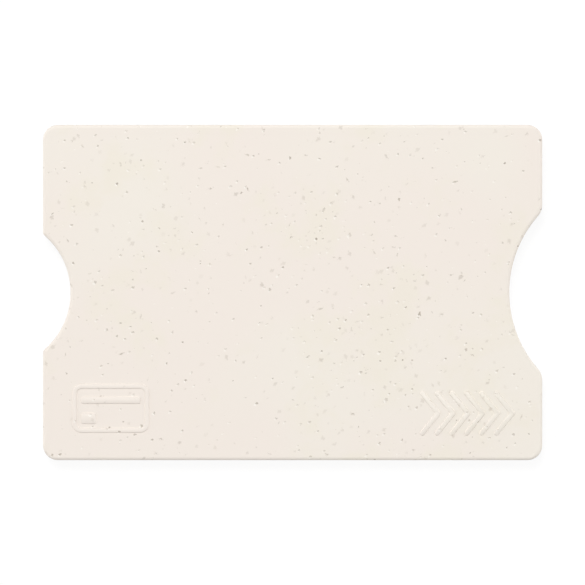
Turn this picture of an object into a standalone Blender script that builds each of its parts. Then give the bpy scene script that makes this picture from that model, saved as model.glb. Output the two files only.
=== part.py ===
"""Shielded hard case for one bank card.

The case is a welded sandwich of two mouldings, each used twice. The covers are flat plates with a
rounded rim. Between them lie two L-shaped rails, turned over from each other, which hold the card
by its edges and stop it at the closed end. Each rail has a tongue and pins on both of its faces,
and each cover has the grooves and sockets that take them. Both ends are notched through the case:
at the closed end a finger pushes the card out, and at the mouth a thumb draws it. Each cover holds
a shield in a recess that faces the card: a sheet of adhesive, a metal foil and a slip film.

The case lies on its back. X runs from the closed end to the mouth, Z out of the front cover, and
the origin is under the middle of the case. Lengths are in metres.
"""

import math

import bmesh
import bpy
from mathutils import Vector

# Bank card that the case is made for
CARD_LENGTH = 0.0856
CARD_WIDTH = 0.05398
CARD_THICKNESS = 0.00076

# Room round the card: beside it, over it, behind it, and between it and the ends of the covers
CARD_SIDE_PLAY = 0.00031
CARD_HEIGHT_PLAY = 0.00064
CARD_END_PLAY = 0.001
CARD_SETBACK = 0.002
POCKET_CORNER_RADIUS = 0.0003

# Covers, and the two legs of each rail
COVER_THICKNESS = 0.0013
RAIL_WIDTH = 0.00325
END_WALL = 0.0024
CORNER_RADIUS = 0.0027
RIM_RADIUS = 0.0005
SEAM_EDGE_RADIUS = 0.0001

# Gap that every two mouldings keep where they meet
FIT_GAP = 0.0003

# Notch at the closed end
PUSH_NOTCH_RADIUS = 0.0137
PUSH_NOTCH_DEPTH = 0.005
PUSH_NOTCH_CORNER_RADIUS = 0.0008

# Notch at the mouth
PULL_NOTCH_RADIUS = 0.0211
PULL_NOTCH_DEPTH = 0.006
PULL_NOTCH_CORNER_RADIUS = 0.0033

# Tongues, grooves, pins and sockets. Their shares are of the wall that each one stands in.
TONGUE_WIDTH_SHARE = 1 / 3
GROOVE_DEPTH_SHARE = 0.5
PIN_DIAMETER_SHARE = 0.37
SOCKET_DEPTH_SHARE = 0.65
SEAM_END_SETBACK = 0.0025
GROOVE_BEND_RADIUS = 0.0008

# Bumps on the rails that hold the card by its edges
BUMP_RADIUS = 0.004
BUMP_HEIGHT = 0.00022
BUMP_SETBACK = 0.012

# Lead-in at the mouth: the covers are chamfered and the rails flare
LEAD_IN_WIDTH = 0.0009
LEAD_IN_DEPTH = 0.0003
FLARE_WIDTH = 0.0005
FLARE_LENGTH = 0.003

# Shield plies, and the margin of the recess that holds them
ADHESIVE_THICKNESS = 0.00005
FOIL_THICKNESS = 0.0001
FILM_THICKNESS = 0.00005
PLY_GAP = 0.00002
SHIELD_MARGIN = 0.002
SHIELD_CORNER_RADIUS = 0.002

# How far cutters run past what they cut
OVERRUN = 0.001

# Fineness of round edges: the most that a facet may stray from its arc, and the rim's segments
FACET_SAG = 0.00001
RIM_SEGMENTS = 4

# Shading: the sharpest edge that is still drawn round, and how square to an axis a flat face looks
SHARP_ANGLE = math.radians(30)
SQUARE_SHARE = 0.9999

# A rim is never rounder than this share of the smallest radius or wall beside it
RIM_LIMIT_SHARE = 0.8

# The lead-in cutter's section runs past its own slope by this share of the slope
LEAD_IN_OVERRUN_SHARE = 0.5

# Sizes of the whole case, worked out from the card outwards
POCKET_WIDTH = CARD_WIDTH + 2 * CARD_SIDE_PLAY
POCKET_HEIGHT = CARD_THICKNESS + CARD_HEIGHT_PLAY
CASE_LENGTH = END_WALL + CARD_END_PLAY + CARD_LENGTH + CARD_SETBACK
CASE_WIDTH = POCKET_WIDTH + 2 * RAIL_WIDTH
CASE_THICKNESS = 2 * COVER_THICKNESS + POCKET_HEIGHT
CLOSED_END = -CASE_LENGTH / 2
MOUTH = CASE_LENGTH / 2
SIDE = CASE_WIDTH / 2
POCKET_SIDE = POCKET_WIDTH / 2

# Seam sizes that covers and rails share
TONGUE_WIDTH = TONGUE_WIDTH_SHARE * END_WALL
GROOVE_WIDTH = TONGUE_WIDTH + 2 * FIT_GAP
GROOVE_DEPTH = GROOVE_DEPTH_SHARE * COVER_THICKNESS
PIN_RADIUS = PIN_DIAMETER_SHARE * RAIL_WIDTH / 2
SOCKET_RADIUS = PIN_RADIUS + FIT_GAP
SOCKET_DEPTH = SOCKET_DEPTH_SHARE * COVER_THICKNESS

RECESS_DEPTH = ADHESIVE_THICKNESS + FOIL_THICKNESS + FILM_THICKNESS + 4 * PLY_GAP

QUARTER = math.pi / 2
HALF = math.pi


def clear_scene():
    for old in list(bpy.data.objects):
        bpy.data.objects.remove(old)


# Outlines. A station is a point on an edge with the direction that leads out of the material there.


def turn(centre, radius, start, end, hollow=False):
    """Stations round an arc, which bulges outwards, or cuts into the material if it is hollow."""
    facet = 2 * math.acos(1 - min(FACET_SAG / radius, 1 / 2))
    steps = max(2, math.ceil(abs(end - start) / facet))
    stations = []
    for step in range(steps + 1):
        angle = start + (end - start) * step / steps
        spoke = Vector((math.cos(angle), math.sin(angle)))
        stations.append((Vector(centre) + radius * spoke, -spoke if hollow else spoke))
    return stations


def straight(x, y, outward):
    """One station on a straight edge that faces outward."""
    return (Vector((x, y)), Vector(outward))


def mirrored(stations):
    """The same stations on the other side of the case's long axis, in the opposite order."""
    return [
        (Vector((point.x, -point.y)), Vector((normal.x, -normal.y)))
        for point, normal in reversed(stations)
    ]


def points_of(stations, outwards=0):
    """The stations' points, moved this far out of the material, or into it if that is negative."""
    return [point + outwards * normal for point, normal in stations]


def notch_corner(radius, depth, corner_radius):
    """How far from the long axis a notch's rounded corners have their centres, and the angle they turn.

    A corner touches both the end of the case and the notch's own arc, so the centres of the two
    arcs are radius + corner_radius apart, and corner_radius + radius - depth apart along the case.
    """
    along = corner_radius + radius - depth
    across = math.sqrt((radius + corner_radius) ** 2 - along**2)
    return across, math.atan2(across, along)


def pull_notch_edge():
    """Half of the mouth's notch, from its floor out to the end of the case."""
    across, angle = notch_corner(PULL_NOTCH_RADIUS, PULL_NOTCH_DEPTH, PULL_NOTCH_CORNER_RADIUS)
    centre = (MOUTH - PULL_NOTCH_DEPTH + PULL_NOTCH_RADIUS, 0)
    corner_centre = (MOUTH - PULL_NOTCH_CORNER_RADIUS, across)
    floor = turn(centre, PULL_NOTCH_RADIUS, HALF, HALF - angle, hollow=True)
    corner = turn(corner_centre, PULL_NOTCH_CORNER_RADIUS, -angle, 0)
    return floor + corner[1:]


def push_notch_edge():
    """Half of the closed end's notch, from the end of the case in to its floor."""
    across, angle = notch_corner(PUSH_NOTCH_RADIUS, PUSH_NOTCH_DEPTH, PUSH_NOTCH_CORNER_RADIUS)
    centre = (CLOSED_END + PUSH_NOTCH_DEPTH - PUSH_NOTCH_RADIUS, 0)
    corner_centre = (CLOSED_END + PUSH_NOTCH_CORNER_RADIUS, across)
    corner = turn(corner_centre, PUSH_NOTCH_CORNER_RADIUS, HALF, HALF + angle)
    floor = turn(centre, PUSH_NOTCH_RADIUS, angle, 0, hollow=True)
    return corner + floor[1:]


def side_edge():
    """The corner at the mouth, one long side, the corner at the closed end, and half of its notch."""
    reach = SIDE - CORNER_RADIUS
    mouth_corner = turn((MOUTH - CORNER_RADIUS, reach), CORNER_RADIUS, 0, QUARTER)
    end_corner = turn((CLOSED_END + CORNER_RADIUS, reach), CORNER_RADIUS, QUARTER, HALF)
    return mouth_corner + end_corner + push_notch_edge()


def case_edge():
    """The whole outline, anticlockwise from the middle of the mouth's notch."""
    upper = pull_notch_edge() + side_edge()
    return upper + mirrored(upper)[1:-1]


def mouth_edge():
    """The end of the covers between the rails, from one rail round the notch to the other."""
    upper = pull_notch_edge() + [straight(MOUTH, POCKET_SIDE, (1, 0))]
    return mirrored(upper)[:-1] + upper


def seam_line(extra=0):
    """The middle of a rail's tongue, along the side and round into the end wall.

    Both of its ends reach further by extra.
    """
    rail_middle = SIDE - RAIL_WIDTH / 2
    wall_middle = CLOSED_END + END_WALL / 2
    notch_side = notch_corner(PUSH_NOTCH_RADIUS, PUSH_NOTCH_DEPTH, PUSH_NOTCH_CORNER_RADIUS)[0]
    bend_radius = GROOVE_BEND_RADIUS + GROOVE_WIDTH / 2
    bend_centre = (wall_middle + bend_radius, rail_middle - bend_radius)
    return (
        [straight(MOUTH - SEAM_END_SETBACK + extra, rail_middle, (0, 1))]
        + turn(bend_centre, bend_radius, QUARTER, HALF)
        + [straight(wall_middle, notch_side + SEAM_END_SETBACK - extra, (-1, 0))]
    )


def pin_places():
    """Middles of a rail's pins: at the seam's mouth end, and where it starts to bend."""
    line = seam_line()
    return {"mouth": line[0][0], "bend": line[1][0]}


def strip(stations, width):
    """Outline of a strip of this width that follows the stations along its middle."""
    return points_of(stations, width / 2) + points_of(stations, -width / 2)[::-1]


def circle(centre, radius):
    return points_of(turn(centre, radius, 0, 2 * HALF)[:-1])


def rounded_rectangle(low, high, radius):
    x0, y0 = low
    x1, y1 = high
    return points_of(
        turn((x1 - radius, y1 - radius), radius, 0, QUARTER)
        + turn((x0 + radius, y1 - radius), radius, QUARTER, HALF)
        + turn((x0 + radius, y0 + radius), radius, HALF, HALF + QUARTER)
        + turn((x1 - radius, y0 + radius), radius, -QUARTER, 0)
    )


def pocket_outline():
    """Plan of the card's room. It runs out of the mouth between flared rails with a bump on each."""
    bump_centre = (MOUTH - BUMP_SETBACK, POCKET_SIDE + BUMP_RADIUS - BUMP_HEIGHT)
    bump_angle = math.acos(1 - BUMP_HEIGHT / BUMP_RADIUS)
    corner_centre = (
        CLOSED_END + END_WALL + POCKET_CORNER_RADIUS,
        POCKET_SIDE - POCKET_CORNER_RADIUS,
    )
    upper = (
        [straight(MOUTH + OVERRUN, POCKET_SIDE + FLARE_WIDTH, (0, 1))]
        + [straight(MOUTH, POCKET_SIDE + FLARE_WIDTH, (0, 1))]
        + [straight(MOUTH - FLARE_LENGTH, POCKET_SIDE, (0, 1))]
        + turn(bump_centre, BUMP_RADIUS, bump_angle - QUARTER, -bump_angle - QUARTER, hollow=True)
        + turn(corner_centre, POCKET_CORNER_RADIUS, QUARTER, HALF)
    )
    return points_of(upper + mirrored(upper))


def shield_outline(gap=0):
    """Plan of a shield's recess, clear of the rails and of both notches, or of a ply in it."""
    inset = SHIELD_MARGIN + gap
    return rounded_rectangle(
        (CLOSED_END + PUSH_NOTCH_DEPTH + inset, inset - POCKET_SIDE),
        (MOUTH - PULL_NOTCH_DEPTH - inset, POCKET_SIDE - inset),
        SHIELD_CORNER_RADIUS,
    )


# Meshes


def mesh_of(name, shape):
    """The finished bmesh as a mesh, with its faces turned outwards."""
    bmesh.ops.recalc_face_normals(shape, faces=shape.faces)
    mesh = bpy.data.meshes.new(name)
    shape.to_mesh(mesh)
    shape.free()
    return mesh


def prism(name, outline, bottom, top):
    """An outline extruded straight up, from bottom to top."""
    shape = bmesh.new()
    face = shape.faces.new([shape.verts.new((x, y, bottom)) for x, y in outline])
    raised = bmesh.ops.extrude_face_region(shape, geom=[face])["geom"]
    corners = [item for item in raised if isinstance(item, bmesh.types.BMVert)]
    bmesh.ops.translate(shape, verts=corners, vec=(0, 0, top - bottom))
    return mesh_of(name, shape)


def swept(name, stations, section):
    """A section carried along the stations. Its points are depths inside the edge, and heights."""
    shape = bmesh.new()
    rings = [
        [shape.verts.new((*(point - depth * normal), height)) for depth, height in section]
        for point, normal in stations
    ]
    for near, far in zip(rings, rings[1:]):
        for corner in range(len(section)):
            after = (corner + 1) % len(section)
            shape.faces.new((near[corner], near[after], far[after], far[corner]))
    shape.faces.new(rings[0])
    shape.faces.new(rings[-1])
    return mesh_of(name, shape)


def add_object(name, mesh, parent=None):
    new = bpy.data.objects.new(name, mesh)
    new.parent = parent
    bpy.context.scene.collection.objects.link(new)
    return new


def rounded_blank(mesh, round_height):
    """An object whose top and bottom edges are rounded: fully at round_height, and barely elsewhere."""
    walls = (COVER_THICKNESS, CORNER_RADIUS, PUSH_NOTCH_CORNER_RADIUS, PULL_NOTCH_CORNER_RADIUS)
    rim_radius = min(RIM_RADIUS, RIM_LIMIT_SHARE * min(walls))
    weights = mesh.attributes.new("bevel_weight_edge", "FLOAT", "EDGE")
    for edge in mesh.edges:
        low, high = (mesh.vertices[index].co.z for index in edge.vertices)
        if low == high:
            weights.data[edge.index].value = (
                1 if low == round_height else SEAM_EDGE_RADIUS / rim_radius
            )
    blank = add_object(mesh.name, mesh)
    bevel = blank.modifiers.new("rims", "BEVEL")
    bevel.limit_method = "WEIGHT"
    bevel.width = rim_radius
    bevel.segments = RIM_SEGMENTS
    bevel.use_clamp_overlap = False
    return blank


def change(blank, operation, tool_mesh, both_sides=False):
    """Cuts the tool's shape from the blank, or joins it on, also mirrored to the other side."""
    tool = add_object(tool_mesh.name, tool_mesh, blank)
    tool.hide_render = True
    tool.display_type = "WIRE"
    if both_sides:
        mirror = tool.modifiers.new("other side", "MIRROR")
        mirror.use_axis = (False, True, False)
        mirror.use_mirror_merge = False
    boolean = blank.modifiers.new(tool_mesh.name, "BOOLEAN")
    boolean.operation = operation
    boolean.solver = "EXACT"
    boolean.object = tool


def finished(blank):
    """The blank's mesh with its modifiers applied, shaded round but for its flat faces and hard edges.

    The blank and its tools go.
    """
    graph = bpy.context.evaluated_depsgraph_get()
    mesh = bpy.data.meshes.new_from_object(blank.evaluated_get(graph))
    mesh.name = blank.name
    for used in [*blank.children, blank]:
        bpy.data.objects.remove(used)
    mesh.shade_smooth()
    mesh.set_sharp_from_angle(angle=SHARP_ANGLE)
    for face in mesh.polygons:
        face.use_smooth = max(abs(part) for part in face.normal) < SQUARE_SHARE
    return mesh


# Mouldings


def lead_in():
    """Cutter for the chamfer round the mouth of a cover, at its inner face."""
    spare = LEAD_IN_OVERRUN_SHARE
    inner = (1 + spare) * LEAD_IN_WIDTH
    outer = -spare * LEAD_IN_WIDTH
    top = COVER_THICKNESS + spare * LEAD_IN_DEPTH
    bottom = COVER_THICKNESS - (1 + spare) * LEAD_IN_DEPTH
    return swept("lead_in", mouth_edge(), [(inner, top), (outer, bottom), (outer, top)])


def cover_mesh():
    """A cover with its outer face at height 0, and its recess, grooves and sockets in the inner one."""
    top = COVER_THICKNESS
    above = top + OVERRUN
    blank = rounded_blank(prism("cover", points_of(case_edge()), 0, top), 0)
    recess = prism("recess", shield_outline(), top - RECESS_DEPTH, above)
    groove_plan = strip(seam_line(FIT_GAP), GROOVE_WIDTH)
    groove = prism("groove", groove_plan, top - GROOVE_DEPTH, above)
    change(blank, "DIFFERENCE", recess)
    change(blank, "DIFFERENCE", lead_in())
    change(blank, "DIFFERENCE", groove, both_sides=True)
    for end, centre in pin_places().items():
        socket_plan = circle(centre, SOCKET_RADIUS)
        socket = prism(f"{end}_socket", socket_plan, top - SOCKET_DEPTH, above)
        change(blank, "DIFFERENCE", socket, both_sides=True)
    return finished(blank)


def rail_mesh():
    """The left rail about the case's middle height, with its tongue and pins standing out of both faces."""
    half = POCKET_HEIGHT / 2
    body = half - FIT_GAP
    plan = [Vector((MOUTH, 0)), *points_of(side_edge())]
    blank = rounded_blank(prism("rail", plan, -body, body), None)
    change(blank, "DIFFERENCE", prism("pocket", pocket_outline(), -half - OVERRUN, half + OVERRUN))
    tongue_reach = half + GROOVE_DEPTH - FIT_GAP
    tongue_plan = strip(seam_line(), TONGUE_WIDTH)
    change(blank, "UNION", prism("tongue", tongue_plan, -tongue_reach, tongue_reach))
    pin_reach = half + SOCKET_DEPTH - FIT_GAP
    for end, centre in pin_places().items():
        pin_plan = circle(centre, PIN_RADIUS)
        change(blank, "UNION", prism(f"{end}_pin", pin_plan, -pin_reach, pin_reach))
    return finished(blank)


def place(name, mesh, case, height, turned_over=False):
    """An object of the case at this height. It is turned over about the case's long axis or not."""
    new = add_object(name, mesh, case)
    new.location.z = height
    new.rotation_euler.x = HALF if turned_over else 0


def place_shields(case, finishes):
    """Adhesive, foil and film in each cover's recess, in that order from the cover to the card."""
    level = COVER_THICKNESS - RECESS_DEPTH
    plies = {"adhesive": ADHESIVE_THICKNESS, "foil": FOIL_THICKNESS, "film": FILM_THICKNESS}
    for ply, thickness in plies.items():
        level += PLY_GAP
        mesh = prism(ply, shield_outline(FIT_GAP), 0, thickness)
        mesh.materials.append(finishes[ply])
        place(f"back_shield_{ply}", mesh, case, level)
        place(f"front_shield_{ply}", mesh, case, CASE_THICKNESS - level, turned_over=True)
        level += thickness


# Finishes


def finish(name, colour, roughness, metallic=0.0, transmission=0.0):
    material = bpy.data.materials.new(name)
    material.use_nodes = True
    material.diffuse_color = (*colour, 1)
    shader = material.node_tree.nodes["Principled BSDF"]
    shader.inputs["Base Color"].default_value = (*colour, 1)
    shader.inputs["Roughness"].default_value = roughness
    shader.inputs["Metallic"].default_value = metallic
    shader.inputs["Transmission Weight"].default_value = transmission
    return material


def moulded_plastic():
    """Matt thermoplastic with ground straw in it, cream."""
    return finish("straw_filled_plastic", (0.87, 0.81, 0.74), 0.55)


def ply_finishes():
    return {
        "adhesive": finish("acrylic_adhesive", (0.85, 0.83, 0.76), 0.35, transmission=0.6),
        "foil": finish("aluminium_foil", (0.91, 0.92, 0.92), 0.22, metallic=1.0),
        "film": finish("clear_slip_film", (0.93, 0.93, 0.94), 0.15, transmission=0.9),
    }


def build():
    clear_scene()
    cover = cover_mesh()
    rail = rail_mesh()
    plastic = moulded_plastic()
    cover.materials.append(plastic)
    rail.materials.append(plastic)
    case = add_object("card_case", None)
    place("back_cover", cover, case, 0)
    place("front_cover", cover, case, CASE_THICKNESS, turned_over=True)
    place("left_rail", rail, case, CASE_THICKNESS / 2)
    place("right_rail", rail, case, CASE_THICKNESS / 2, turned_over=True)
    place_shields(case, ply_finishes())


build()
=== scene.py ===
"""Looks of a shielded bank card case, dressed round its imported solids.

The case lies on its back with its mouth towards +X and its front face up. Lengths are in metres.
The mouldings get closed skins with finer rims and tight weld seams, the front gets two raised marks,
and the shield plies keep their solids and get a finish.
"""

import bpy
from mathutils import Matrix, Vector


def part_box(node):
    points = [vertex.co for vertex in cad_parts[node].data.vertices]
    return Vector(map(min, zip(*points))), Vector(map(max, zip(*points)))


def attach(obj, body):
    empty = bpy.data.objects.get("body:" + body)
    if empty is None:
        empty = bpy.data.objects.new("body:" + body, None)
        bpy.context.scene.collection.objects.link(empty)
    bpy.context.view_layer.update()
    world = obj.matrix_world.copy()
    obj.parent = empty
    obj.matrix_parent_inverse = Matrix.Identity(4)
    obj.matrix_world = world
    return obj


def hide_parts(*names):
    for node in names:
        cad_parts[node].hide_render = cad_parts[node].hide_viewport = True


bl_info = {
    "name": "Card Case",
    "version": (1, 0, 0),
    "blender": (4, 5, 0),
    "location": "3D View > Sidebar > Card Case",
    "description": "Builds the skins, marks, finishes and stage of a straw-filled bank card case",
    "category": "Add Mesh",
}

import math
from collections import namedtuple

import bpy
import numpy as np
from bpy.props import FloatProperty, FloatVectorProperty, IntProperty, PointerProperty
from bpy.types import Operator, Panel, PropertyGroup

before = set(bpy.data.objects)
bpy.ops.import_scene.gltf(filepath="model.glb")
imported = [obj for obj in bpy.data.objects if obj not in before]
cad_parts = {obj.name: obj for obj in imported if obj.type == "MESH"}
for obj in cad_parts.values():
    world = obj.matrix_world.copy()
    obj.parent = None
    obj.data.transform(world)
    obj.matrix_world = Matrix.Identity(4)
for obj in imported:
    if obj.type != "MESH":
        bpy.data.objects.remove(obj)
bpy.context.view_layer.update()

BACK_LOW, BACK_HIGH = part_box("back_cover")
FRONT_LOW, FRONT_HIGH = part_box("front_cover")

MM = 0.001
WHITE = (1, 1, 1, 1)

# Turns in radians
QUARTER = math.pi / 2
HALF = math.pi

# Fineness of the skins: the turn between two points of an arc, their distance on a straight and round
# the recess, and how many rows of points cross a rim, the edge of a seam and the slope of a mark
ARC_STEP = math.radians(2)
STRAIGHT_STEP = 1 * MM
RECESS_STEP = 0.25 * MM
RIM_ROWS = 9
EDGE_ROWS = 4
SLOPE_ROWS = 7

# Points of a line that lie closer than this are one point
SAME_POINT = 0.0004 * MM

# Narrow flat band beside each rounded edge, so that the flat face shades flat
FLAT_BAND = 0.04 * MM

# The plies lie this far above the floor of their recess, and the marks' skirts reach this far into
# the front cover
SHIELD_REST = 0.01 * MM
SKIRT = 0.03 * MM

# The sharpest edge that is still shaded round
SHARP_ANGLE = math.radians(35)

# The card sign in widths of its line: the radius of its corners, the way from its outer edge to what
# is inside, the stripe's lower and upper edge below the top of that, and the block's two sides
SIGN_CORNER_SHARE = 1.6
SIGN_SPACE_SHARE = 2
STRIPE_SHARES = (2.4, 0.9)
BLOCK_SHARES = (3.4, 2.4)

# The floor lies just under the case. Where it is seen it shows only this share of its shading, and
# glows, so that it is white beyond the case's shadow.
FLOOR_REACH = 0.6
FLOOR_DROP = 0.02 * MM
FLOOR_GLOW = 1.04
FLOOR_SHADE = 0.15

# The fill from all round is stronger towards both ends of the case, and weaker towards its sides
FILL_LEVEL = 0.415
END_LIGHT = 1.3
SIDE_SHADE = 0.7

# The key is a soft disk of light above the case's left side, and its power is in watts
KEY_POWER = 43.2
KEY_SIZE = 1.2
KEY_PLACE = (-0.42, 1.53, 2.55)

# The photograph's frame is this wide on the plane of the rims, and its middle is here
FRAME_WIDTH = 106.6 * MM
CAMERA_PLACE = (-0.03 * MM, 0)
CAMERA_LENS = 150
CAMERA_CLIP = (0.01, 10)


def linear(hex_colour):
    """The linear colour of an sRGB one that is written as #RRGGBB."""
    shares = [int(hex_colour[place : place + 2], 16) / 255 for place in (1, 3, 5)]
    return tuple(s / 12.92 if s <= 0.04045 else ((s + 0.055) / 1.055) ** 2.4 for s in shares)


# Sizes and colours that a user would change


def length(name, description, default):
    """A length that the user can set."""
    return FloatProperty(
        name=name, description=description, default=default, min=0, unit="LENGTH", precision=5
    )


def colour(name, description, hex_colour):
    """A colour that the user can set."""
    return FloatVectorProperty(
        name=name, description=description, default=linear(hex_colour), min=0, max=1, subtype="COLOR"
    )


class CaseShape(PropertyGroup):
    """Sizes of the mouldings"""

    corner: length("Corner", "Radius of the four corners", 2.7 * MM)
    rim: length("Rim", "Radius of the rounded rims of both faces", 0.6 * MM)
    seam_edge: length("Seam edge", "Radius of the covers' edges along the weld seams", 0.1 * MM)
    rail_edge: length("Rail edge", "Radius of the rails' edges along the weld seams", 0.04 * MM)
    seam_gap: length("Seam gap", "Width of the line that each weld leaves", 0.04 * MM)
    push_radius: length("Push notch", "Radius of the notch in the closed end", 13.7 * MM)
    push_depth: length("Push depth", "Depth of the notch in the closed end", 5.0 * MM)
    push_corner: length("Push corner", "Radius of that notch's corners", 0.8 * MM)
    pull_radius: length("Pull notch", "Radius of the notch in the mouth", 21.1 * MM)
    pull_depth: length("Pull depth", "Depth of the notch in the mouth", 6.0 * MM)
    pull_corner: length("Pull corner", "Radius of that notch's corners", 3.3 * MM)
    rail: length("Rail", "Width of the side rails", 3.25 * MM)
    end_wall: length("End wall", "Thickness of the wall at the closed end", 2.4 * MM)
    lead_width: length("Lead-in width", "How far the mouth's lead-in reaches in", 0.9 * MM)
    lead_depth: length("Lead-in depth", "How far the mouth's lead-in opens each cover", 0.3 * MM)
    lead_taper: length("Lead-in taper", "Length over which the lead-in runs out at a rail", 1.5 * MM)
    flare_width: length("Flare width", "How far each rail opens at the mouth", 0.5 * MM)
    flare_length: length("Flare length", "Length of that flare", 3.0 * MM)
    bump_radius: length("Bump radius", "Radius of the bump that holds the card's edge", 4.0 * MM)
    bump_height: length("Bump height", "How far that bump stands out of its rail", 0.22 * MM)
    bump_setback: length("Bump setback", "Distance from the mouth to the bump", 12.0 * MM)
    recess_margin: length("Recess margin", "Face left round the shield's recess", 2.0 * MM)
    recess_corner: length("Recess corner", "Radius of the recess's corners", 2.0 * MM)


class MarkShape(PropertyGroup):
    """Sizes and places of the two raised marks"""

    height: length("Relief", "How far the marks stand out of the front face", 0.16 * MM)
    slope: length("Slope", "Width of the slope round each mark", 0.11 * MM)
    sign_x: length("Sign X", "Distance of the card sign from the middle, towards the closed end", 33.1 * MM)
    sign_y: length("Sign Y", "Distance of the card sign from the long axis", 21.1 * MM)
    sign_length: length("Sign length", "Length of the card sign", 14.0 * MM)
    sign_width: length("Sign width", "Width of the card sign", 8.8 * MM)
    sign_line: length("Sign line", "Width of the card sign's lines", 0.8 * MM)
    rib_x: length("Ribs X", "Distance of the grip ribs from the middle, towards the mouth", 31.8 * MM)
    rib_y: length("Ribs Y", "Distance of the grip ribs from the long axis", 22.0 * MM)
    rib_pitch: length("Rib pitch", "Distance between two grip ribs", 2.7 * MM)
    rib_width: length("Rib width", "Width of a grip rib", 0.8 * MM)
    rib_reach: length("Rib reach", "Distance across the case between a grip rib's two ends", 7.2 * MM)
    rib_point: length("Rib point", "How far a grip rib's point lies ahead of its ends", 2.9 * MM)
    rib_count: IntProperty(name="Ribs", description="Number of grip ribs", default=6, min=2)


class Finishes(PropertyGroup):
    """Colours of the pieces and of the floor"""

    cream: colour("Cream", "The plastic between the flecks", "#F3EAE1")
    cool: colour("Cool cast", "Tint of the plastic's wide clouds", "#F2EFE3")
    olive: colour("Olive cast", "Tint of the plastic where it holds more straw", "#F1EADC")
    pith: colour("Pith", "The flecks that are paler than the plastic", "#FFFAF2")
    straw: colour("Straw", "The palest flecks", "#CFC5B6")
    husk: colour("Husk", "The darkest flecks", "#8F7F6C")
    foil: colour("Foil", "The shield's aluminium", "#DADBDC")
    adhesive: colour("Adhesive", "The milky adhesive under the foil", "#DCD6C6")
    film: colour("Film", "The clear slip film", "#F4F6F7")
    floor: colour("Floor", "The floor that the case lies on", "#F4F4F4")


# Lines. A line is its points and the directions out of the material there, as arrays of two columns.


def arc_line(arcs, straight_step=STRAIGHT_STEP):
    """A closed line of arcs joined by straights.

    An arc is x, y, radius, start, end and sense. On it a point is the centre plus the radius times
    (cosine, sine) of an angle that goes from start to end, and the direction out is that cosine and
    sine times the sense, which is 1 where the edge bulges and -1 where it is hollow. On a straight
    both go evenly from the one end to the other.
    """
    points, normals = [], []
    for x, y, radius, start, end, sense in arcs:
        steps = max(2, math.ceil(abs(end - start) / ARC_STEP))
        angle = np.linspace(start, end, steps + 1)
        spoke = np.stack((np.cos(angle), np.sin(angle)), 1)
        points.append(np.array((x, y)) + radius * spoke)
        normals.append(sense * spoke)
    points, normals = np.vstack(points), np.vstack(normals)
    gap = np.linalg.norm(np.roll(points, -1, 0) - points, axis=1)
    apart = gap > SAME_POINT
    points, normals, gap = points[apart], normals[apart], gap[apart]
    parts = np.maximum(1, np.ceil(gap / straight_step)).astype(int)
    first = np.repeat(np.cumsum(parts) - parts, parts)
    share = ((np.arange(parts.sum()) - first) / np.repeat(parts, parts))[:, None]
    near = np.repeat(np.arange(len(points)), parts)
    far = (near + 1) % len(points)
    points = points[near] * (1 - share) + points[far] * share
    normals = normals[near] * (1 - share) + normals[far] * share
    return points, normals / np.linalg.norm(normals, axis=1)[:, None]


def both_halves(upper):
    """The arcs of the upper half, followed by the same arcs mirrored in the long axis."""
    return upper + [(x, -y, radius, -end, -start, sense) for x, y, radius, start, end, sense in upper[::-1]]


def rounded_rectangle(low, high, radius):
    """Arcs of a rectangle's four corners, anticlockwise."""
    (x0, y0), (x1, y1) = low, high
    return [
        (x1 - radius, y1 - radius, radius, 0, QUARTER, 1),
        (x0 + radius, y1 - radius, radius, QUARTER, HALF, 1),
        (x0 + radius, y0 + radius, radius, HALF, HALF + QUARTER, 1),
        (x1 - radius, y0 + radius, radius, -QUARTER, 0, 1),
    ]


def notch_corner(radius, depth, corner):
    """How far off the long axis a notch's corner has its centre, and the angle it turns.

    The two arcs touch, so their centres are radius + corner apart, of which radius + corner - depth
    lies along the case. The rest follows from the right-angled triangle.
    """
    along = radius + corner - depth
    across = math.sqrt((radius + corner) ** 2 - along**2)
    return across, math.atan2(across, along)


def push_notch(shape, closed_end):
    """Arcs of the upper half of the closed end's notch: its corner and its floor.

    The corner's centre lies its radius inside the closed end. The floor's lies on the long axis, its
    radius behind the notch's deepest point.
    """
    across, angle = notch_corner(shape.push_radius, shape.push_depth, shape.push_corner)
    floor_x = closed_end + shape.push_depth - shape.push_radius
    return [
        (closed_end + shape.push_corner, across, shape.push_corner, HALF, HALF + angle, 1),
        (floor_x, 0, shape.push_radius, angle, 0, -1),
    ]


def case_line(shape):
    """The outline of the case, anticlockwise from the middle of the mouth's notch."""
    across, angle = notch_corner(shape.pull_radius, shape.pull_depth, shape.pull_corner)
    closed_end, mouth, side = BACK_LOW.x, BACK_HIGH.x, BACK_HIGH.y
    upper = [
        (mouth - shape.pull_depth + shape.pull_radius, 0, shape.pull_radius, HALF, HALF - angle, -1),
        (mouth - shape.pull_corner, across, shape.pull_corner, -angle, 0, 1),
        (mouth - shape.corner, side - shape.corner, shape.corner, 0, QUARTER, 1),
        (closed_end + shape.corner, side - shape.corner, shape.corner, QUARTER, HALF, 1),
    ]
    return arc_line(both_halves(upper + push_notch(shape, closed_end)))


def recess_line(shape):
    """The outline of the recess that holds a shield."""
    side = BACK_HIGH.y - shape.rail - shape.recess_margin
    low = (BACK_LOW.x + shape.push_depth + shape.recess_margin, -side)
    high = (BACK_HIGH.x - shape.pull_depth - shape.recess_margin, side)
    return arc_line(rounded_rectangle(low, high, shape.recess_corner), RECESS_STEP)


def seen_from_middle(points, loop):
    """The places where rays from the middle to the points cross a loop.

    The loop's distance from the middle is read at each point's polar angle.
    """
    angle = np.arctan2(points[:, 1], points[:, 0])
    loop_angle = np.arctan2(loop[:, 1], loop[:, 0])
    reach = np.interp(angle, loop_angle, np.linalg.norm(loop, axis=1), period=2 * HALF)
    return reach[:, None] * np.stack((np.cos(angle), np.sin(angle)), 1)


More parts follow.
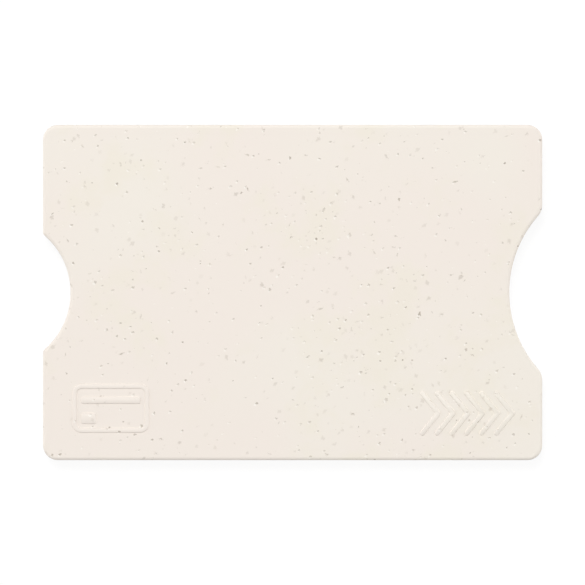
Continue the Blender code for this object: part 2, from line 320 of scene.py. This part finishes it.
def rail_line(shape):
    """The left rail's outline: its side, its half of the end wall, and its edge along the card.

    The notch's floor ends at the end wall's inner face, at the angle whose cosine is that face's distance
    from the floor's centre over the radius. The bump is where a circle sunk in the rail stands out of
    its edge, and spans twice the angle whose cosine is 1 - height / radius. The flare's corners are
    arcs of no radius.
    """
    closed_end, mouth, side = BACK_LOW.x, BACK_HIGH.x, BACK_HIGH.y
    wall, inner = closed_end + shape.end_wall, side - shape.rail
    corner, floor = push_notch(shape, closed_end)
    floor_x, _, radius, angle, _, sense = floor
    wall_angle = math.acos((wall - floor_x) / radius)
    bump_angle = math.acos(1 - shape.bump_height / shape.bump_radius)
    bump_x, bump_y = mouth - shape.bump_setback, inner + shape.bump_radius - shape.bump_height
    arcs = [
        (mouth - shape.corner, side - shape.corner, shape.corner, 0, QUARTER, 1),
        (closed_end + shape.corner, side - shape.corner, shape.corner, QUARTER, HALF, 1),
        corner,
        (floor_x, 0, radius, angle, wall_angle, sense),
        (wall + shape.seam_edge, inner - shape.seam_edge, shape.seam_edge, HALF, QUARTER, -1),
        (bump_x, bump_y, shape.bump_radius, -QUARTER - bump_angle, bump_angle - QUARTER, 1),
        (mouth - shape.flare_length, inner, 0, -QUARTER, -QUARTER, 1),
        (mouth, inner + shape.flare_width, 0, -QUARTER, -QUARTER, 1),
    ]
    return arc_line(arcs)[0]


def rib_line(marks, point_x):
    """The outline of a rib of even width that bends at its point, with round ends, anticlockwise.

    Its middle line leans by the angle whose tangent is the point's lead over half the reach. All arcs
    have half the width as their radius, and the one in the hollow has its centre a width over the
    lean's cosine behind the point's.
    """
    half, reach = marks.rib_width / 2, marks.rib_reach / 2
    lean = math.atan2(marks.rib_point, reach)
    hollow_x = point_x - 2 * half / math.cos(lean)
    end_x, y = point_x - marks.rib_point, -marks.rib_y
    arcs = [
        (point_x, y, half, -lean, lean, 1),
        (end_x, y + reach, half, lean, lean + HALF, 1),
        (hollow_x, y, half, lean, -lean, -1),
        (end_x, y - reach, half, HALF - lean, 2 * HALF - lean, 1),
    ]
    return arc_line(arcs)


def sign_lines(marks):
    """The lines of the card sign: the middle of its frame, its stripe and its block.

    All three are rounded rectangles, placed by shares of the width of the sign's line.
    """
    line = marks.sign_line
    middle = np.array((-marks.sign_x, -marks.sign_y))
    half = np.array((marks.sign_length, marks.sign_width)) / 2
    frame_half = half - line / 2
    inside = half - SIGN_SPACE_SHARE * line
    low_share, high_share = STRIPE_SHARES
    stripe_low = middle + (-inside[0], inside[1] - low_share * line)
    stripe_high = middle + (inside[0], inside[1] - high_share * line)
    block_low = middle - inside
    block_high = block_low + np.multiply(BLOCK_SHARES, line)
    rectangles = (
        (middle - frame_half, middle + frame_half, SIGN_CORNER_SHARE * line),
        (stripe_low, stripe_high, line / 2),
        (block_low, block_high, line / 2),
    )
    return [arc_line(rounded_rectangle(*rectangle)) for rectangle in rectangles]


# Surfaces


def flat_rows(places, heights):
    """A grid of points from rows of places in the plan and a height for each row."""
    heights = np.broadcast_to(np.asarray(heights, float)[:, None, None], (*places.shape[:2], 1))
    return np.concatenate((places, heights), 2)


def capped_shell(grid):
    """A closed shell from a grid whose rows are loops: quads between the rows, and a cap on each end.

    A shell is its points, and arrays of faces that have as many corners each.
    """
    rows, columns = grid.shape[:2]
    index = np.arange(rows * columns).reshape(rows, columns)
    beside = np.roll(index, -1, 1)
    quads = np.stack((index[:-1], beside[:-1], beside[1:], index[1:]), 2).reshape(-1, 4)
    return grid.reshape(-1, 3), (quads, index[:1, ::-1], index[-1:])


def ring_shell(grid):
    """A closed shell from a grid whose rows are loops, where the last row joins the first."""
    rows, columns = grid.shape[:2]
    index = np.arange(rows * columns).reshape(rows, columns)
    beside, beyond = np.roll(index, -1, 1), np.roll(index, -1, 0)
    quads = np.stack((index, beside, np.roll(beside, -1, 0), beyond), 2).reshape(-1, 4)
    return grid.reshape(-1, 3), (quads,)


def signed_volume(points, faces):
    """A closed shell's volume, which is positive where its faces point outwards.

    Each face is a fan of triangles from its first corner a. The volume is a sixth of the sum of
    a . (b x c) over them all.
    """
    total = 0
    for face in faces:
        first, second, third = points[face[:, :1]], points[face[:, 1:-1]], points[face[:, 2:]]
        total += np.sum(first * np.cross(second, third))
    return total / 6


def mesh_of(name, shells):
    """One mesh of several closed shells, each with its faces turned outwards."""
    mesh = bpy.data.meshes.new(name)
    corners, start = [], 0
    for points, faces in shells:
        way = 1 if signed_volume(points, faces) > 0 else -1
        for face in faces:
            corners += (start + face[:, ::way]).tolist()
        start += len(points)
    mesh.from_pydata(np.vstack([points for points, _ in shells]).tolist(), [], corners)
    return mesh


def smooth_step(share):
    """3 u^2 - 2 u^3 of a share u, which starts and ends level."""
    return share**2 * (3 - 2 * share)


def lead_in(shape, points):
    """How far the rounded inner edge reaches into a cover, and how deep, at points of the outline.

    Along the rails and at the closed end both are the radius of the seam's edge. At the mouth they grow
    from a rail to the lead-in, as the smooth step of the distance from the rail over the taper.
    """
    past_rail = (BACK_HIGH.y - shape.rail - np.abs(points[:, 1])) / shape.lead_taper
    share = smooth_step(np.clip(past_rail, 0, 1) * (points[:, 0] > 0))
    width = shape.seam_edge + share * (shape.lead_width - shape.seam_edge)
    depth = shape.seam_edge + share * (shape.lead_depth - shape.seam_edge)
    return width, depth


def recess_rows(shape, points):
    """Four rows of places round the shield's recess, one for each point of the outline, and their depths.

    Two rows, a flat band apart, end a cover's inner face at the recess. The third lies under the
    second on the recess's floor, and the last a flat band further in.
    """
    recess, normals = recess_line(shape)
    band = FLAT_BAND * np.array((1, 0, 0, -1))
    rows = np.stack([seen_from_middle(points, recess + step * normals) for step in band])
    depth = BACK_HIGH.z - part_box("back_shield_adhesive")[0].z + SHIELD_REST
    return rows, depth * np.array((0, 0, 1, 1))[:, None]


def cover_grid(shape, outer, inner):
    """A cover as a profile carried along the outline, from its outer face at one height to its inner one.

    From the flat outer face the profile goes round the rim on a quarter of a circle, down the edge,
    and round the inner edge on a quarter of an ellipse, as far as the lead-in reaches. Then it crosses
    the inner face to the shield's recess and goes down into that.
    """
    points, normals = case_line(shape)
    lead_width, lead_depth = lead_in(shape, points)
    thickness = abs(inner - outer)
    ones = np.ones_like(lead_width)
    angle = np.linspace(0, QUARTER, RIM_ROWS)[:, None]
    rim_inset = shape.rim * (1 - np.sin(angle)) * ones
    rim_depth = shape.rim * (1 - np.cos(angle)) * ones
    angle = np.linspace(0, QUARTER, EDGE_ROWS)[:, None]
    edge_inset = lead_width * (1 - np.cos(angle))
    edge_depth = thickness - lead_depth * (1 - np.sin(angle))
    inset = np.vstack(((shape.rim + FLAT_BAND) * ones, rim_inset, edge_inset, lead_width + FLAT_BAND))
    around = points - inset[:, :, None] * normals

    hollow, hollow_depth = recess_rows(shape, points)
    floor_depth = (thickness - hollow_depth) * ones
    depth = np.vstack((0 * ones, rim_depth, edge_depth, thickness * ones, floor_depth))
    height = outer + math.copysign(1, inner - outer) * depth
    return np.concatenate((np.concatenate((around, hollow)), height[:, :, None]), 2)


def raised_grid(line, face, height, slope):
    """A plateau on the front face: its edge rises from the face on a smooth step across the slope.

    At a share u of the slope the height is face + height * (3 u^2 - 2 u^3), and the line is moved
    inwards by slope * (u - 1/2). Below the face a skirt closes it.
    """
    points, normals = line
    share = np.linspace(0, 1, SLOPE_ROWS)
    inset = np.concatenate(((-slope / 2,), slope * (share - 1 / 2)))
    rise = np.concatenate(((-SKIRT,), height * smooth_step(share)))
    places = points - inset[:, None, None] * normals
    return flat_rows(places, face + rise)


def ridge_grid(line, width, face, height, slope):
    """A ridge along a closed line, as a section carried along it.

    Across the line the section's height is face + height * s, where s is the smooth step
    3 u^2 - 2 u^3 of how far the place is inside the ridge's foot, u, as a share of the slope.
    """
    points, normals = line
    share = np.linspace(0, 1, SLOPE_ROWS)
    rise = height * smooth_step(share)
    reach = width / 2 + slope * (1 / 2 - share)
    offset = np.concatenate(((reach[0],), reach, -reach[::-1], (-reach[0],)))
    rise = np.concatenate(((-SKIRT,), rise, rise[::-1], (-SKIRT,)))
    places = points + offset[:, None, None] * normals
    return flat_rows(places, face + rise)


# Materials. The two colours of a Mix node are its inputs 6 and 7, because others share their names.

PLASTIC_NAME = "straw_filled_polypropylene_moulded"


def feed(tree, node, inputs):
    """Gives a node's inputs their values, or links them to the sockets or nodes that feed them.

    A node feeds others from its first enabled output.
    """
    for socket, value in inputs.items():
        if isinstance(value, bpy.types.Node):
            value = next(output for output in value.outputs if output.enabled)
        if isinstance(value, bpy.types.NodeSocket):
            tree.links.new(value, node.inputs[socket])
        else:
            node.inputs[socket].default_value = value


def add(tree, kind, inputs=None, **settings):
    """Adds a node with its settings and its inputs."""
    new = tree.nodes.new(kind)
    for name, value in settings.items():
        setattr(new, name, value)
    feed(tree, new, inputs or {})
    return new


def new_material(name):
    """An empty material with its tree, its shader and its object coordinates in millimetres."""
    material = bpy.data.materials.new(name)
    material.use_nodes = True
    tree = material.node_tree
    where = add(tree, "ShaderNodeTexCoord").outputs["Object"]
    place = add(tree, "ShaderNodeMapping", {"Vector": where, "Scale": (1 / MM,) * 3})
    return material, tree, tree.nodes["Principled BSDF"], place


def rgba(shade, share=1):
    """A colour, or a share of its light, as the four numbers that a node takes."""
    return (*(share * part for part in shade), 1)


# Layers of flecks in the plastic, in millimetres and degrees. A share of a layer's cells hold a fleck,
# which has at most the radius and fades over twice the edge. It is drawn at a strength between the two,
# and stretched along a direction that is turned about the three axes.
FleckLayer = namedtuple("FleckLayer", "cell share radius edge strengths stretch turn")
HUSK = FleckLayer(0.95, 0.33, 0.32, 0.070, (0.25, 0.80), 1.4, (10, 20, 15))
COARSE_HUSK = FleckLayer(2.80, 0.30, 0.46, 0.080, (0.35, 0.80), 1.4, (30, 15, 80))
SUNKEN_HUSK = (
    FleckLayer(1.50, 0.42, 0.48, 0.160, (0.10, 0.32), 1.5, (12, 8, 35)),
    FleckLayer(1.60, 0.42, 0.48, 0.160, (0.10, 0.32), 1.5, (-10, 15, 110)),
)
FIBRES = (
    FleckLayer(1.70, 0.34, 0.23, 0.070, (0.25, 0.80), 3.6, (4, -5, 18)),
    FleckLayer(1.60, 0.34, 0.23, 0.070, (0.25, 0.80), 3.2, (-6, 4, 71)),
    FleckLayer(1.80, 0.34, 0.23, 0.070, (0.25, 0.80), 4.0, (5, 6, 118)),
    FleckLayer(1.65, 0.34, 0.23, 0.070, (0.25, 0.80), 3.0, (-4, -6, 163)),
)
DARK_LAYERS = (HUSK, *SUNKEN_HUSK, COARSE_HUSK, *FIBRES)

# The smallest fleck of a layer has this share of its largest radius
SMALLEST_SHARE = 0.25

# A layer's cells are moved by its cell, stretch and radius times these, so that no two layers line up
LAYER_SHIFTS = (13, 7, 5)

# The pale pith of a bit of straw lies beside its husk, this far off in millimetres
PITH_SHIFT = (0.16, 0.20, 0.05)
PITH_LAYERS = (HUSK, COARSE_HUSK)
PITH_STRENGTHS = (0.65, 0.80)

# How many waves of each pattern lie in a millimetre. The function that makes a pattern says how long
# its waves are.
RAGGED_WAVES = 3.2
MIXING_WAVES = 0.08
CAST_WAVES = 0.03
GRAIN_WAVES = 4.5
FACE_WAVES = 0.12
ROLLING_WAVES = (0.02, 9, 1)
RUBBING_WAVES = (0.08, 5, 1)
MOTTLE_WAVES = 0.8

# How far the ragged waves move a place in millimetres, how much less rough a fleck is than the
# plastic, and how many times the grain's height the face's waves have
RAGGED_REACH = 0.6
FLECK_GLOSS = 0.08
FACE_TO_GRAIN = 4


def flecks(tree, place, crowd, layer, strengths):
    """How strongly a fleck shows at each place, from 0 to 1, and the random numbers of its cell.

    Cells of the layer's size fill the plastic, and its share of them, times the crowd, hold a fleck.
    It is an eight-sided chip, whose size runs evenly from the smallest to the largest one. Where it
    shows at all it is drawn at a random strength.
    """
    shifts = np.multiply(LAYER_SHIFTS, (layer.cell, layer.stretch, layer.radius))
    turned = {
        "Vector": place,
        "Location": shifts,
        "Rotation": np.radians(layer.turn),
        "Scale": (layer.cell * layer.stretch, layer.cell, layer.cell),
    }
    turned = add(tree, "ShaderNodeMapping", turned, vector_type="TEXTURE")
    cells = add(tree, "ShaderNodeTexVoronoi", {"Vector": turned, "Scale": 1}, distance="MANHATTAN")
    chance = add(tree, "ShaderNodeSeparateColor", {"Color": cells.outputs["Color"]}).outputs
    bare = add(tree, "ShaderNodeMath", {0: crowd, 1: -layer.share, 2: 1}, operation="MULTIPLY_ADD")
    largest, edge = layer.radius / layer.cell, layer.edge / layer.cell
    limits = {"From Min": bare, "To Min": SMALLEST_SHARE * largest, "To Max": largest}
    size = add(tree, "ShaderNodeMapRange", {"Value": chance["Red"], **limits})
    inside = add(tree, "ShaderNodeMath", {0: size, 1: cells}, operation="SUBTRACT")
    fade = {"Value": inside, "From Min": -edge, "From Max": edge}
    amount = add(tree, "ShaderNodeMapRange", fade, interpolation_type="SMOOTHSTEP")
    present = add(tree, "ShaderNodeMath", {0: chance["Red"], 1: bare}, operation="GREATER_THAN")
    amount = add(tree, "ShaderNodeMath", {0: amount, 1: present}, operation="MULTIPLY")
    drawn = {"Value": chance["Green"], "To Min": strengths[0], "To Max": strengths[1]}
    strength = add(tree, "ShaderNodeMapRange", drawn)
    return add(tree, "ShaderNodeMath", {0: amount, 1: strength}, operation="MULTIPLY"), chance


def ragged_place(tree, place):
    """The place, moved by waves 0.3 mm long, so that the outlines of the flecks are ragged.

    The waves run from 0 to 1, so that a half taken off them centres them on the place.
    """
    waves = {"Vector": place, "Scale": RAGGED_WAVES, "Detail": 2, "Roughness": 0.6}
    wobble = add(tree, "ShaderNodeTexNoise", waves).outputs["Color"]
    wobble = add(tree, "ShaderNodeVectorMath", {0: wobble, 1: (0.5,) * 3}, operation="SUBTRACT")
    shift = {0: wobble, 1: (RAGGED_REACH,) * 3, 2: place}
    return add(tree, "ShaderNodeVectorMath", shift, operation="MULTIPLY_ADD")


def clouded_cream(tree, place, mixing, finishes):
    """The plastic between the flecks: cool clouds 33 mm wide, and warmer where there is more straw."""
    wide = add(tree, "ShaderNodeTexNoise", {"Vector": place, "Scale": CAST_WAVES, "Detail": 1})
    cool = {"Value": wide, "From Min": 0.45, "From Max": 0.7, "To Max": 0.4}
    cool = add(tree, "ShaderNodeMapRange", cool, interpolation_type="SMOOTHSTEP")
    tint = {0: cool, 6: rgba(finishes.cream), 7: rgba(finishes.cool)}
    ground = add(tree, "ShaderNodeMix", tint, data_type="RGBA")
    warm = {"Value": mixing, "From Min": 0.5, "From Max": 0.68, "To Max": 0.7}
    warm = add(tree, "ShaderNodeMapRange", warm, interpolation_type="SMOOTHSTEP")
    tint = {0: warm, 6: ground, 7: rgba(finishes.olive)}
    return add(tree, "ShaderNodeMix", tint, data_type="RGBA")


def moulded_face(tree, place, dark):
    """The roughness and the bump of the moulded face.

    Spark erosion leaves a grain of 0.2 mm, over which the face is more and less matt. The flecks are a
    little glossier, and the face of so thin a moulding has slight waves 8 mm long.
    """
    grain = add(tree, "ShaderNodeTexNoise", {"Vector": place, "Scale": GRAIN_WAVES, "Detail": 2})
    limits = {"From Min": 0.3, "From Max": 0.7, "To Min": 0.5, "To Max": 0.6}
    matt = add(tree, "ShaderNodeMapRange", {"Value": grain, **limits})
    glossier = {0: dark, 1: -FLECK_GLOSS, 2: matt}
    rough = add(tree, "ShaderNodeMath", glossier, operation="MULTIPLY_ADD")
    waves = add(tree, "ShaderNodeTexNoise", {"Vector": place, "Scale": FACE_WAVES, "Detail": 1})
    relief = {0: waves, 1: FACE_TO_GRAIN, 2: grain}
    relief = add(tree, "ShaderNodeMath", relief, operation="MULTIPLY_ADD")
    bump = {"Height": relief, "Strength": 0.4, "Distance": 0.018 * MM}
    return rough, add(tree, "ShaderNodeBump", bump)


def straw_filled_plastic(finishes):
    """Polypropylene filled with ground straw, moulded in a spark-eroded mould.

    It gives the eye a cream ground with faint cool and warm clouds, bits of husk with their pale pith
    and short fibres at all depths, crowded in some places and sparse in others, and a fine matt grain.
    """
    material, tree, shader, place = new_material(PLASTIC_NAME)

    # The straw crowds and thins over 12 mm
    mixing = {"Vector": place, "Scale": MIXING_WAVES, "Detail": 4, "Roughness": 0.62}
    mixing = add(tree, "ShaderNodeTexNoise", mixing)
    limits = {"From Min": 0.35, "From Max": 0.65, "To Min": 0.5, "To Max": 1.5}
    crowd = add(tree, "ShaderNodeMapRange", {"Value": mixing, **limits})

    ground = clouded_cream(tree, place, mixing, finishes)
    ragged = ragged_place(tree, place)
    beside = add(tree, "ShaderNodeVectorMath", {0: ragged, 1: PITH_SHIFT}, operation="ADD")
    for layer in PITH_LAYERS:
        seen, _ = flecks(tree, beside, crowd, layer, PITH_STRENGTHS)
        tint = {0: seen, 6: ground, 7: rgba(finishes.pith)}
        ground = add(tree, "ShaderNodeMix", tint, data_type="RGBA")
    dark = 0
    for layer in DARK_LAYERS:
        seen, chance = flecks(tree, ragged, crowd, layer, layer.strengths)
        shade = {0: chance["Blue"], 6: rgba(finishes.husk), 7: rgba(finishes.straw)}
        shade = add(tree, "ShaderNodeMix", shade, data_type="RGBA")
        ground = add(tree, "ShaderNodeMix", {0: seen, 6: ground, 7: shade}, data_type="RGBA")
        dark = add(tree, "ShaderNodeMath", {0: dark, 1: seen}, operation="MAXIMUM")
    rough, bump = moulded_face(tree, place, dark)
    feed(tree, shader, {"Base Color": ground, "Roughness": rough, "Normal": bump, "IOR": 1.49})
    return material


def rolled_foil(finishes):
    """Aluminium foil as it comes from the mill.

    It is bright, with lines along the rolling direction, 0.1 mm wide and 50 mm long.
    """
    material, tree, shader, place = new_material("aluminium_foil_rolled")
    drawn = add(tree, "ShaderNodeMapping", {"Vector": place, "Scale": ROLLING_WAVES})
    lines = add(tree, "ShaderNodeTexNoise", {"Vector": drawn, "Scale": 1, "Detail": 4})
    rough = add(tree, "ShaderNodeMapRange", {"Value": lines, "To Min": 0.18, "To Max": 0.38})
    bump = {"Height": lines, "Strength": 0.3, "Distance": 0.004 * MM}
    bump = add(tree, "ShaderNodeBump", bump)
    shade = {0: lines, 6: rgba(finishes.foil, 0.94), 7: rgba(finishes.foil)}
    shade = add(tree, "ShaderNodeMix", shade, data_type="RGBA")
    feed(tree, shader, {"Base Color": shade, "Roughness": rough, "Normal": bump, "Metallic": 1})
    return material


def polyester_film(finishes):
    """Clear polyester slip film.

    It is glassy, with faint rubbing marks from the card, 0.2 mm wide and 12 mm long.
    """
    material, tree, shader, place = new_material("polyester_film_clear")
    drawn = add(tree, "ShaderNodeMapping", {"Vector": place, "Scale": RUBBING_WAVES})
    rubs = add(tree, "ShaderNodeTexNoise", {"Vector": drawn, "Scale": 1, "Detail": 3})
    limits = {"From Min": 0.45, "From Max": 0.75, "To Min": 0.05, "To Max": 0.22}
    rough = add(tree, "ShaderNodeMapRange", {"Value": rubs, **limits})
    shade = {0: rubs, 6: rgba(finishes.film), 7: WHITE}
    shade = add(tree, "ShaderNodeMix", shade, data_type="RGBA")
    feed(tree, shader, {"Base Color": shade, "Roughness": rough, "Alpha": 0.3, "IOR": 1.57})
    return material


def acrylic_adhesive(finishes):
    """Acrylic transfer adhesive: milky and uneven over 1.2 mm, with a soft gloss."""
    material, tree, shader, place = new_material("acrylic_adhesive_transfer")
    mottle = add(tree, "ShaderNodeTexNoise", {"Vector": place, "Scale": MOTTLE_WAVES, "Detail": 3})
    shade = {0: mottle, 6: rgba(finishes.adhesive, 0.9), 7: rgba(finishes.adhesive)}
    shade = add(tree, "ShaderNodeMix", shade, data_type="RGBA")
    rough = add(tree, "ShaderNodeMapRange", {"Value": mottle, "To Min": 0.3, "To Max": 0.45})
    bump = {"Height": mottle, "Strength": 0.3, "Distance": 0.01 * MM}
    bump = add(tree, "ShaderNodeBump", bump)
    feed(tree, shader, {"Base Color": shade, "Roughness": rough, "Normal": bump})
    feed(tree, shader, {"Transmission Weight": 0.35, "IOR": 1.47})
    return material


def seen_rays(tree):
    """Tells seen rays, 1, from those that only light, 0.

    Seen are the rays of the camera, of reflections and of refractions.
    """
    path = add(tree, "ShaderNodeLightPath").outputs
    direct = {0: path["Is Camera Ray"], 1: path["Is Glossy Ray"]}
    direct = add(tree, "ShaderNodeMath", direct, operation="MAXIMUM")
    through = {0: direct, 1: path["Is Transmission Ray"]}
    return add(tree, "ShaderNodeMath", through, operation="MAXIMUM")


def seamless_paper(finishes):
    """White seamless paper: where it is seen it is lifted to white, but for a faint shadow."""
    material, tree, shader, _ = new_material("seamless_paper")
    tree.nodes.remove(shader)
    paper = add(tree, "ShaderNodeBsdfDiffuse", {"Color": rgba(finishes.floor)})
    glow = add(tree, "ShaderNodeEmission", {"Color": WHITE, "Strength": FLOOR_GLOW})
    lifted = add(tree, "ShaderNodeMixShader", {0: FLOOR_SHADE, 1: glow, 2: paper})
    surface = add(tree, "ShaderNodeMixShader", {0: seen_rays(tree), 1: paper, 2: lifted})
    feed(tree, tree.nodes["Material Output"], {"Surface": surface})
    return material


# Operators


def add_moulding(context, mesh, *replaced):
    """A piece of the shell: shaded, made of its one plastic, and riding on the root body."""
    plastic = bpy.data.materials.get(PLASTIC_NAME)
    mesh.materials.append(plastic or straw_filled_plastic(context.scene.card_case_finishes))
    mesh.shade_smooth()
    mesh.set_sharp_from_angle(angle=SHARP_ANGLE)
    piece = bpy.data.objects.new(mesh.name, mesh)
    context.scene.collection.objects.link(piece)
    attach(piece, "root")
    if replaced:
        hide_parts(*replaced)
    return piece


class CARDCASE_OT_covers(Operator):
    """Builds the skins of the two covers, with their rims, notches, lead-ins and shield recesses"""

    bl_idname = "card_case.covers"
    bl_label = "Covers"

    def execute(self, context):
        shape = context.scene.card_case_shape
        face = FRONT_HIGH.z - context.scene.card_case_marks.height
        grids = {
            "front_cover": cover_grid(shape, face, FRONT_LOW.z),
            "back_cover": cover_grid(shape, BACK_LOW.z, BACK_HIGH.z),
        }
        for node, grid in grids.items():
            add_moulding(context, mesh_of(f"{node}_skin", [capped_shell(grid)]), node)
        return {"FINISHED"}


class CARDCASE_OT_rails(Operator):
    """Builds the skins of the two rails between the covers, with a bump, a flare and fine weld seams"""

    bl_idname = "card_case.rails"
    bl_label = "Rails"

    def execute(self, context):
        shape = context.scene.card_case_shape
        plan = rail_line(shape)
        heights = (BACK_HIGH.z + shape.seam_gap, FRONT_LOW.z - shape.seam_gap)
        for node, across in {"left_rail": 1, "right_rail": -1}.items():
            places = np.stack((plan * (1, across),) * 2)
            mesh = mesh_of(f"{node}_skin", [capped_shell(flat_rows(places, heights))])
            piece = add_moulding(context, mesh, node)
            bevel = piece.modifiers.new("edges", "BEVEL")
            bevel.width = shape.rail_edge
            bevel.segments = EDGE_ROWS - 1
            bevel.limit_method = "ANGLE"
            bevel.angle_limit = SHARP_ANGLE
            bevel.harden_normals = True
        return {"FINISHED"}


class CARDCASE_OT_card_sign(Operator):
    """Raises the plain sign of a card at the closed end: a rounded frame, a stripe and a small block"""

    bl_idname = "card_case.card_sign"
    bl_label = "Card sign"

    def execute(self, context):
        marks = context.scene.card_case_marks
        relief = (FRONT_HIGH.z - marks.height, marks.height, marks.slope)
        frame_line, *filled = sign_lines(marks)
        shells = [ring_shell(ridge_grid(frame_line, marks.sign_line, *relief))]
        shells += [capped_shell(raised_grid(line, *relief)) for line in filled]
        add_moulding(context, mesh_of("card_sign", shells))
        return {"FINISHED"}


class CARDCASE_OT_grip_ribs(Operator):
    """Raises a row of grip ribs near the mouth, each bent to a point in the direction of the mouth"""

    bl_idname = "card_case.grip_ribs"
    bl_label = "Grip ribs"

    def execute(self, context):
        marks = context.scene.card_case_marks
        relief = (FRONT_HIGH.z - marks.height, marks.height, marks.slope)
        shells = []
        for place in np.arange(marks.rib_count) - (marks.rib_count - 1) / 2:
            point_x = marks.rib_x + place * marks.rib_pitch + marks.rib_point / 2
            shells.append(capped_shell(raised_grid(rib_line(marks, point_x), *relief)))
        add_moulding(context, mesh_of("grip_ribs", shells))
        return {"FINISHED"}


class CARDCASE_OT_shields(Operator):
    """Gives the adhesive, foil and film of both shields their finishes"""

    bl_idname = "card_case.shields"
    bl_label = "Shields"

    def execute(self, context):
        finishes = context.scene.card_case_finishes
        plies = {
            "adhesive": acrylic_adhesive(finishes),
            "foil": rolled_foil(finishes),
            "film": polyester_film(finishes),
        }
        for ply, material in plies.items():
            for cover in ("back", "front"):
                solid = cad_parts[f"{cover}_shield_{ply}"]
                for slot in solid.material_slots:
                    slot.material = material
        return {"FINISHED"}


class CARDCASE_OT_stage(Operator):
    """Sets up the pale floor, the soft key from above the case's left side, the fill and the camera"""

    bl_idname = "card_case.stage"
    bl_label = "Stage"

    def execute(self, context):
        scene = context.scene
        scene.view_settings.view_transform = "Standard"
        self.add_floor(scene)
        self.add_fill(scene)
        self.add_key(scene)
        self.add_camera(scene)
        return {"FINISHED"}

    def add_floor(self, scene):
        """Lays a level square of four quads under the case."""
        side = np.linspace(-FLOOR_REACH, FLOOR_REACH, 3)
        x, y = np.meshgrid(side, side)
        places = np.stack((x, y, np.full_like(x, BACK_LOW.z - FLOOR_DROP)), 2).reshape(-1, 3)
        index = np.arange(x.size).reshape(x.shape)
        quads = np.stack((index[:-1, :-1], index[:-1, 1:], index[1:, 1:], index[1:, :-1]), 2)
        mesh = bpy.data.meshes.new("floor")
        mesh.from_pydata(places.tolist(), [], quads.reshape(-1, 4).tolist())
        mesh.materials.append(seamless_paper(scene.card_case_finishes))
        floor = bpy.data.objects.new("floor", mesh)
        scene.collection.objects.link(floor)

    def add_fill(self, scene):
        """Lights the case from all round.

        From a direction (x, y, z) the strength is the fill's level + the end light * x^2 - the side
        shade * y^2, and never below nought. The direction is what the world has for Generated
        coordinates. Where the world is seen it is white.
        """
        world = bpy.data.worlds.new("studio")
        scene.world = world
        world.use_nodes = True
        tree = world.node_tree
        way = add(tree, "ShaderNodeTexCoord").outputs["Generated"]
        way = add(tree, "ShaderNodeSeparateXYZ", {"Vector": way}).outputs
        ends = add(tree, "ShaderNodeMath", {0: way["X"], 1: way["X"]}, operation="MULTIPLY")
        sides = add(tree, "ShaderNodeMath", {0: way["Y"], 1: way["Y"]}, operation="MULTIPLY")
        fill = {0: ends, 1: END_LIGHT, 2: FILL_LEVEL}
        fill = add(tree, "ShaderNodeMath", fill, operation="MULTIPLY_ADD")
        fill = {0: sides, 1: -SIDE_SHADE, 2: fill}
        fill = add(tree, "ShaderNodeMath", fill, operation="MULTIPLY_ADD")
        fill = add(tree, "ShaderNodeMath", {0: fill, 1: 0}, operation="MAXIMUM")
        strength = {"Value": seen_rays(tree), "To Min": fill, "To Max": 1}
        strength = add(tree, "ShaderNodeMapRange", strength)
        feed(tree, tree.nodes["Background"], {"Color": WHITE, "Strength": strength})

    def add_key(self, scene):
        """Hangs the soft key, turned towards the case."""
        lamp = bpy.data.lights.new("key", "AREA")
        lamp.energy = KEY_POWER
        lamp.shape = "DISK"
        lamp.size = KEY_SIZE
        key = bpy.data.objects.new("key", lamp)
        key.location = KEY_PLACE
        key.rotation_euler = key.location.to_track_quat("Z", "Y").to_euler()
        scene.collection.objects.link(key)

    def add_camera(self, scene):
        """Hangs the camera over the case.

        Its height over the rims is the frame's width there times the focal length over the sensor's
        width.
        """
        lens = bpy.data.cameras.new("camera")
        lens.lens = CAMERA_LENS
        lens.clip_start, lens.clip_end = CAMERA_CLIP
        camera = bpy.data.objects.new("camera", lens)
        distance = FRAME_WIDTH * lens.lens / lens.sensor_width
        rim = FRONT_HIGH.z - scene.card_case_shape.rim
        camera.location = (*CAMERA_PLACE, rim + distance)
        scene.collection.objects.link(camera)
        scene.camera = camera


class CARDCASE_PT_pieces(Panel):
    """Lists the pieces of the card case and their sizes and colours"""

    bl_idname = "CARDCASE_PT_pieces"
    bl_label = "Card Case"
    bl_space_type = "VIEW_3D"
    bl_region_type = "UI"
    bl_category = "Card Case"

    def draw(self, context):
        for operator in OPERATORS:
            self.layout.operator(operator.bl_idname)
        for name, group in GROUPS.items():
            box = self.layout.box()
            for setting in group.__annotations__:
                box.prop(getattr(context.scene, name), setting)


GROUPS = {
    "card_case_shape": CaseShape,
    "card_case_marks": MarkShape,
    "card_case_finishes": Finishes,
}
OPERATORS = (
    CARDCASE_OT_covers,
    CARDCASE_OT_rails,
    CARDCASE_OT_card_sign,
    CARDCASE_OT_grip_ribs,
    CARDCASE_OT_shields,
    CARDCASE_OT_stage,
)
CLASSES = (*GROUPS.values(), *OPERATORS, CARDCASE_PT_pieces)


def register():
    for new in CLASSES:
        bpy.utils.register_class(new)
    for name, group in GROUPS.items():
        setattr(bpy.types.Scene, name, PointerProperty(type=group))


def unregister():
    for name in GROUPS:
        delattr(bpy.types.Scene, name)
    for old in reversed(CLASSES):
        bpy.utils.unregister_class(old)


def main():
    """Builds the case piece by piece and its stage."""
    register()
    bpy.ops.card_case.covers()
    bpy.ops.card_case.rails()
    bpy.ops.card_case.card_sign()
    bpy.ops.card_case.grip_ribs()
    bpy.ops.card_case.shields()
    bpy.ops.card_case.stage()


if __name__ == "__main__":
    main()
